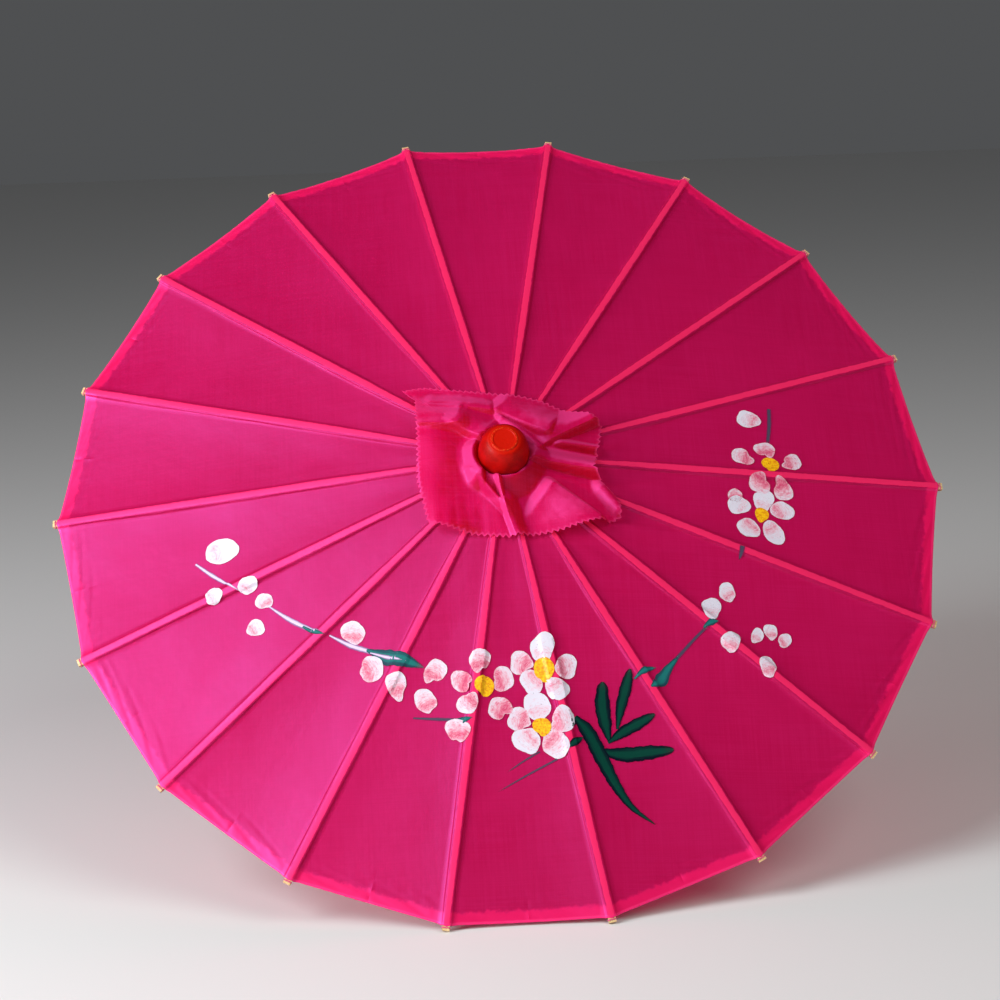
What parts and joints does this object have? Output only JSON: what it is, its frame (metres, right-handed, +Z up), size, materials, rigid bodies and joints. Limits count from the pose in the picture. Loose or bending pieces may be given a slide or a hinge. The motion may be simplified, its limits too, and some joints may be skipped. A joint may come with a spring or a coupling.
{
  "type": "oil paper umbrella",
  "caption": "Small decorative parasol with a painted pink cloth cover on split bamboo ribs that fold down along a wooden shaft with a turned grip and a red finial.",
  "frame": {"origin": "on the floor under the middle of the open parasol, which rests on its two lowest rib tips and the end of its grip", "axes": "+Z up, +X across the open canopy, -Y towards the side that the finial points to"},
  "size_m": [0.5628, 0.4396, 0.4323],
  "materials": {
    "cloth": "sheer woven",
    "collar_cloth": "sheer woven, pinked edge",
    "bamboo": "split and planed",
    "shaft_wood": "satin",
    "grip_wood": "turned and varnished",
    "hub_wood": "turned and notched",
    "red_lacquer": "orange-red lacquer, scuffed",
    "wire": "drawn wire"
  },
  "bodies": {
    "root": {"shaft": "shaft_wood", "grip": "grip_wood", "hub": "hub_wood", "hub_tie_wire": "wire", "finial": "red_lacquer", "canopy": "cloth", "collar_patch": "collar_cloth"},
    "runner": {"runner": "hub_wood", "runner_tie_wire": "wire"},
    "catch": {"catch": "wire"},
    "rib_01": {"rib_01": "bamboo"},
    "rib_02": {"rib_02": "bamboo"},
    "rib_03": {"rib_03": "bamboo"},
    "rib_04": {"rib_04": "bamboo"},
    "rib_05": {"rib_05": "bamboo"},
    "rib_06": {"rib_06": "bamboo"},
    "rib_07": {"rib_07": "bamboo"},
    "rib_08": {"rib_08": "bamboo"},
    "rib_09": {"rib_09": "bamboo"},
    "rib_10": {"rib_10": "bamboo"},
    "rib_11": {"rib_11": "bamboo"},
    "rib_12": {"rib_12": "bamboo"},
    "rib_13": {"rib_13": "bamboo"},
    "rib_14": {"rib_14": "bamboo"},
    "rib_15": {"rib_15": "bamboo"},
    "rib_16": {"rib_16": "bamboo"},
    "rib_17": {"rib_17": "bamboo"},
    "rib_18": {"rib_18": "bamboo"},
    "stretcher_01": {"stretcher_01": "bamboo"},
    "stretcher_02": {"stretcher_02": "bamboo"},
    "stretcher_03": {"stretcher_03": "bamboo"},
    "stretcher_04": {"stretcher_04": "bamboo"},
    "stretcher_05": {"stretcher_05": "bamboo"},
    "stretcher_06": {"stretcher_06": "bamboo"},
    "stretcher_07": {"stretcher_07": "bamboo"},
    "stretcher_08": {"stretcher_08": "bamboo"},
    "stretcher_09": {"stretcher_09": "bamboo"},
    "stretcher_10": {"stretcher_10": "bamboo"},
    "stretcher_11": {"stretcher_11": "bamboo"},
    "stretcher_12": {"stretcher_12": "bamboo"},
    "stretcher_13": {"stretcher_13": "bamboo"},
    "stretcher_14": {"stretcher_14": "bamboo"},
    "stretcher_15": {"stretcher_15": "bamboo"},
    "stretcher_16": {"stretcher_16": "bamboo"},
    "stretcher_17": {"stretcher_17": "bamboo"},
    "stretcher_18": {"stretcher_18": "bamboo"}
  },
  "joints": [
    {"name": "runner_slide", "type": "slide", "parent": "root", "child": "runner", "axis": [0, 0.7768, -0.6298], "range_m": [0, 0.18543], "deforming": ["canopy", "collar_patch", "catch"]},
    {"name": "catch_press", "type": "slide", "parent": "root", "child": "catch", "axis": [0, -0.6298, -0.7768], "range_m": [0, 0.0024], "stiffness_N_per_m": 600},
    {"name": "rib_01_fold", "type": "hinge", "parent": "root", "child": "rib_01", "pos_m": [0.00208, -0.09942, 0.24567], "axis": [0.9848, 0.1094, 0.1349], "range_deg": [0, 73.01]},
    {"name": "stretcher_01_fold", "type": "hinge", "parent": "rib_01", "child": "stretcher_01", "pos_m": [0.02239, -0.15096, 0.13923], "axis": [0.9848, 0.1094, 0.1349], "range_deg": [-146.02, 0]},
    {"name": "rib_02_fold", "type": "hinge", "parent": "root", "child": "rib_02", "pos_m": [0.006, -0.09852, 0.24678], "axis": [0.866, 0.3149, 0.3884], "range_deg": [0, 73.01]},
    {"name": "stretcher_02_fold", "type": "hinge", "parent": "rib_02", "child": "stretcher_02", "pos_m": [0.06446, -0.14132, 0.15112], "axis": [0.866, 0.3149, 0.3884], "range_deg": [-146.02, 0]},
    {"name": "rib_03_fold", "type": "hinge", "parent": "root", "child": "rib_03", "pos_m": [0.00919, -0.09683, 0.24886], "axis": [0.6428, 0.4824, 0.5951], "range_deg": [0, 73.01]},
    {"name": "stretcher_03_fold", "type": "hinge", "parent": "rib_03", "child": "stretcher_03", "pos_m": [0.09876, -0.12319, 0.17348], "axis": [0.6428, 0.4824, 0.5951], "range_deg": [-146.02, 0]},
    {"name": "rib_04_fold", "type": "hinge", "parent": "root", "child": "rib_04", "pos_m": [0.01128, -0.09456, 0.25167], "axis": [0.342, 0.5918, 0.7299], "range_deg": [0, 73.01]},
    {"name": "stretcher_04_fold", "type": "hinge", "parent": "rib_04", "child": "stretcher_04", "pos_m": [0.12115, -0.09877, 0.2036], "axis": [0.342, 0.5918, 0.7299], "range_deg": [-146.02, 0]},
    {"name": "rib_05_fold", "type": "hinge", "parent": "root", "child": "rib_05", "pos_m": [0.012, -0.09197, 0.25485], "axis": [0, 0.6298, 0.7768], "range_deg": [0, 73.01]},
    {"name": "stretcher_05_fold", "type": "hinge", "parent": "rib_05", "child": "stretcher_05", "pos_m": [0.12892, -0.071, 0.23785], "axis": [0, 0.6298, 0.7768], "range_deg": [-146.02, 0]},
    {"name": "rib_06_fold", "type": "hinge", "parent": "root", "child": "rib_06", "pos_m": [0.01128, -0.08939, 0.25804], "axis": [-0.342, 0.5918, 0.7299], "range_deg": [0, 73.01]},
    {"name": "stretcher_06_fold", "type": "hinge", "parent": "rib_06", "child": "stretcher_06", "pos_m": [0.12115, -0.04324, 0.27211], "axis": [-0.342, 0.5918, 0.7299], "range_deg": [-146.02, 0]},
    {"name": "rib_07_fold", "type": "hinge", "parent": "root", "child": "rib_07", "pos_m": [0.00919, -0.08711, 0.26084], "axis": [-0.6428, 0.4824, 0.5951], "range_deg": [0, 73.01]},
    {"name": "stretcher_07_fold", "type": "hinge", "parent": "rib_07", "child": "stretcher_07", "pos_m": [0.09876, -0.01881, 0.30223], "axis": [-0.6428, 0.4824, 0.5951], "range_deg": [-146.02, 0]},
    {"name": "rib_08_fold", "type": "hinge", "parent": "root", "child": "rib_08", "pos_m": [0.006, -0.08543, 0.26293], "axis": [-0.866, 0.3149, 0.3884], "range_deg": [0, 73.01]},
    {"name": "stretcher_08_fold", "type": "hinge", "parent": "rib_08", "child": "stretcher_08", "pos_m": [0.06446, -0.00069, 0.32458], "axis": [-0.866, 0.3149, 0.3884], "range_deg": [-146.02, 0]},
    {"name": "rib_09_fold", "type": "hinge", "parent": "root", "child": "rib_09", "pos_m": [0.00208, -0.08453, 0.26403], "axis": [-0.9848, 0.1094, 0.1349], "range_deg": [0, 73.01]},
    {"name": "stretcher_09_fold", "type": "hinge", "parent": "rib_09", "child": "stretcher_09", "pos_m": [0.02239, 0.00895, 0.33648], "axis": [-0.9848, 0.1094, 0.1349], "range_deg": [-146.02, 0]},
    {"name": "rib_10_fold", "type": "hinge", "parent": "root", "child": "rib_10", "pos_m": [-0.00208, -0.08453, 0.26403], "axis": [-0.9848, -0.1094, -0.1349], "range_deg": [0, 73.01]},
    {"name": "stretcher_10_fold", "type": "hinge", "parent": "rib_10", "child": "stretcher_10", "pos_m": [-0.02239, 0.00895, 0.33648], "axis": [-0.9848, -0.1094, -0.1349], "range_deg": [-146.02, 0]},
    {"name": "rib_11_fold", "type": "hinge", "parent": "root", "child": "rib_11", "pos_m": [-0.006, -0.08543, 0.26293], "axis": [-0.866, -0.3149, -0.3884], "range_deg": [0, 73.01]},
    {"name": "stretcher_11_fold", "type": "hinge", "parent": "rib_11", "child": "stretcher_11", "pos_m": [-0.06446, -0.00069, 0.32458], "axis": [-0.866, -0.3149, -0.3884], "range_deg": [-146.02, 0]},
    {"name": "rib_12_fold", "type": "hinge", "parent": "root", "child": "rib_12", "pos_m": [-0.00919, -0.08711, 0.26084], "axis": [-0.6428, -0.4824, -0.5951], "range_deg": [0, 73.01]},
    {"name": "stretcher_12_fold", "type": "hinge", "parent": "rib_12", "child": "stretcher_12", "pos_m": [-0.09876, -0.01881, 0.30223], "axis": [-0.6428, -0.4824, -0.5951], "range_deg": [-146.02, 0]},
    {"name": "rib_13_fold", "type": "hinge", "parent": "root", "child": "rib_13", "pos_m": [-0.01128, -0.08939, 0.25804], "axis": [-0.342, -0.5918, -0.7299], "range_deg": [0, 73.01]},
    {"name": "stretcher_13_fold", "type": "hinge", "parent": "rib_13", "child": "stretcher_13", "pos_m": [-0.12115, -0.04324, 0.27211], "axis": [-0.342, -0.5918, -0.7299], "range_deg": [-146.02, 0]},
    {"name": "rib_14_fold", "type": "hinge", "parent": "root", "child": "rib_14", "pos_m": [-0.012, -0.09197, 0.25485], "axis": [0, -0.6298, -0.7768], "range_deg": [0, 73.01]},
    {"name": "stretcher_14_fold", "type": "hinge", "parent": "rib_14", "child": "stretcher_14", "pos_m": [-0.12892, -0.071, 0.23785], "axis": [0, -0.6298, -0.7768], "range_deg": [-146.02, 0]},
    {"name": "rib_15_fold", "type": "hinge", "parent": "root", "child": "rib_15", "pos_m": [-0.01128, -0.09456, 0.25167], "axis": [0.342, -0.5918, -0.7299], "range_deg": [0, 73.01]},
    {"name": "stretcher_15_fold", "type": "hinge", "parent": "rib_15", "child": "stretcher_15", "pos_m": [-0.12115, -0.09877, 0.2036], "axis": [0.342, -0.5918, -0.7299], "range_deg": [-146.02, 0]},
    {"name": "rib_16_fold", "type": "hinge", "parent": "root", "child": "rib_16", "pos_m": [-0.00919, -0.09683, 0.24886], "axis": [0.6428, -0.4824, -0.5951], "range_deg": [0, 73.01]},
    {"name": "stretcher_16_fold", "type": "hinge", "parent": "rib_16", "child": "stretcher_16", "pos_m": [-0.09876, -0.12319, 0.17348], "axis": [0.6428, -0.4824, -0.5951], "range_deg": [-146.02, 0]},
    {"name": "rib_17_fold", "type": "hinge", "parent": "root", "child": "rib_17", "pos_m": [-0.006, -0.09852, 0.24678], "axis": [0.866, -0.3149, -0.3884], "range_deg": [0, 73.01]},
    {"name": "stretcher_17_fold", "type": "hinge", "parent": "rib_17", "child": "stretcher_17", "pos_m": [-0.06446, -0.14132, 0.15112], "axis": [0.866, -0.3149, -0.3884], "range_deg": [-146.02, 0]},
    {"name": "rib_18_fold", "type": "hinge", "parent": "root", "child": "rib_18", "pos_m": [-0.00208, -0.09942, 0.24567], "axis": [0.9848, -0.1094, -0.1349], "range_deg": [0, 73.01]},
    {"name": "stretcher_18_fold", "type": "hinge", "parent": "rib_18", "child": "stretcher_18", "pos_m": [-0.02239, -0.15096, 0.13923], "axis": [0.9848, -0.1094, -0.1349], "range_deg": [-146.02, 0]}
  ],
  "couplings": [
    {"joint": "rib_01_fold", "follows": "runner_slide", "rad_per_m": 6.8711},
    {"joint": "stretcher_01_fold", "follows": "runner_slide", "rad_per_m": -13.742},
    {"joint": "rib_02_fold", "follows": "runner_slide", "rad_per_m": 6.8711},
    {"joint": "stretcher_02_fold", "follows": "runner_slide", "rad_per_m": -13.742},
    {"joint": "rib_03_fold", "follows": "runner_slide", "rad_per_m": 6.8711},
    {"joint": "stretcher_03_fold", "follows": "runner_slide", "rad_per_m": -13.742},
    {"joint": "rib_04_fold", "follows": "runner_slide", "rad_per_m": 6.8711},
    {"joint": "stretcher_04_fold", "follows": "runner_slide", "rad_per_m": -13.742},
    {"joint": "rib_05_fold", "follows": "runner_slide", "rad_per_m": 6.8711},
    {"joint": "stretcher_05_fold", "follows": "runner_slide", "rad_per_m": -13.742},
    {"joint": "rib_06_fold", "follows": "runner_slide", "rad_per_m": 6.8711},
    {"joint": "stretcher_06_fold", "follows": "runner_slide", "rad_per_m": -13.742},
    {"joint": "rib_07_fold", "follows": "runner_slide", "rad_per_m": 6.8711},
    {"joint": "stretcher_07_fold", "follows": "runner_slide", "rad_per_m": -13.742},
    {"joint": "rib_08_fold", "follows": "runner_slide", "rad_per_m": 6.8711},
    {"joint": "stretcher_08_fold", "follows": "runner_slide", "rad_per_m": -13.742},
    {"joint": "rib_09_fold", "follows": "runner_slide", "rad_per_m": 6.8711},
    {"joint": "stretcher_09_fold", "follows": "runner_slide", "rad_per_m": -13.742},
    {"joint": "rib_10_fold", "follows": "runner_slide", "rad_per_m": 6.8711},
    {"joint": "stretcher_10_fold", "follows": "runner_slide", "rad_per_m": -13.742},
    {"joint": "rib_11_fold", "follows": "runner_slide", "rad_per_m": 6.8711},
    {"joint": "stretcher_11_fold", "follows": "runner_slide", "rad_per_m": -13.742},
    {"joint": "rib_12_fold", "follows": "runner_slide", "rad_per_m": 6.8711},
    {"joint": "stretcher_12_fold", "follows": "runner_slide", "rad_per_m": -13.742},
    {"joint": "rib_13_fold", "follows": "runner_slide", "rad_per_m": 6.8711},
    {"joint": "stretcher_13_fold", "follows": "runner_slide", "rad_per_m": -13.742},
    {"joint": "rib_14_fold", "follows": "runner_slide", "rad_per_m": 6.8711},
    {"joint": "stretcher_14_fold", "follows": "runner_slide", "rad_per_m": -13.742},
    {"joint": "rib_15_fold", "follows": "runner_slide", "rad_per_m": 6.8711},
    {"joint": "stretcher_15_fold", "follows": "runner_slide", "rad_per_m": -13.742},
    {"joint": "rib_16_fold", "follows": "runner_slide", "rad_per_m": 6.8711},
    {"joint": "stretcher_16_fold", "follows": "runner_slide", "rad_per_m": -13.742},
    {"joint": "rib_17_fold", "follows": "runner_slide", "rad_per_m": 6.8711},
    {"joint": "stretcher_17_fold", "follows": "runner_slide", "rad_per_m": -13.742},
    {"joint": "rib_18_fold", "follows": "runner_slide", "rad_per_m": 6.8711},
    {"joint": "stretcher_18_fold", "follows": "runner_slide", "rad_per_m": -13.742}
  ]
}
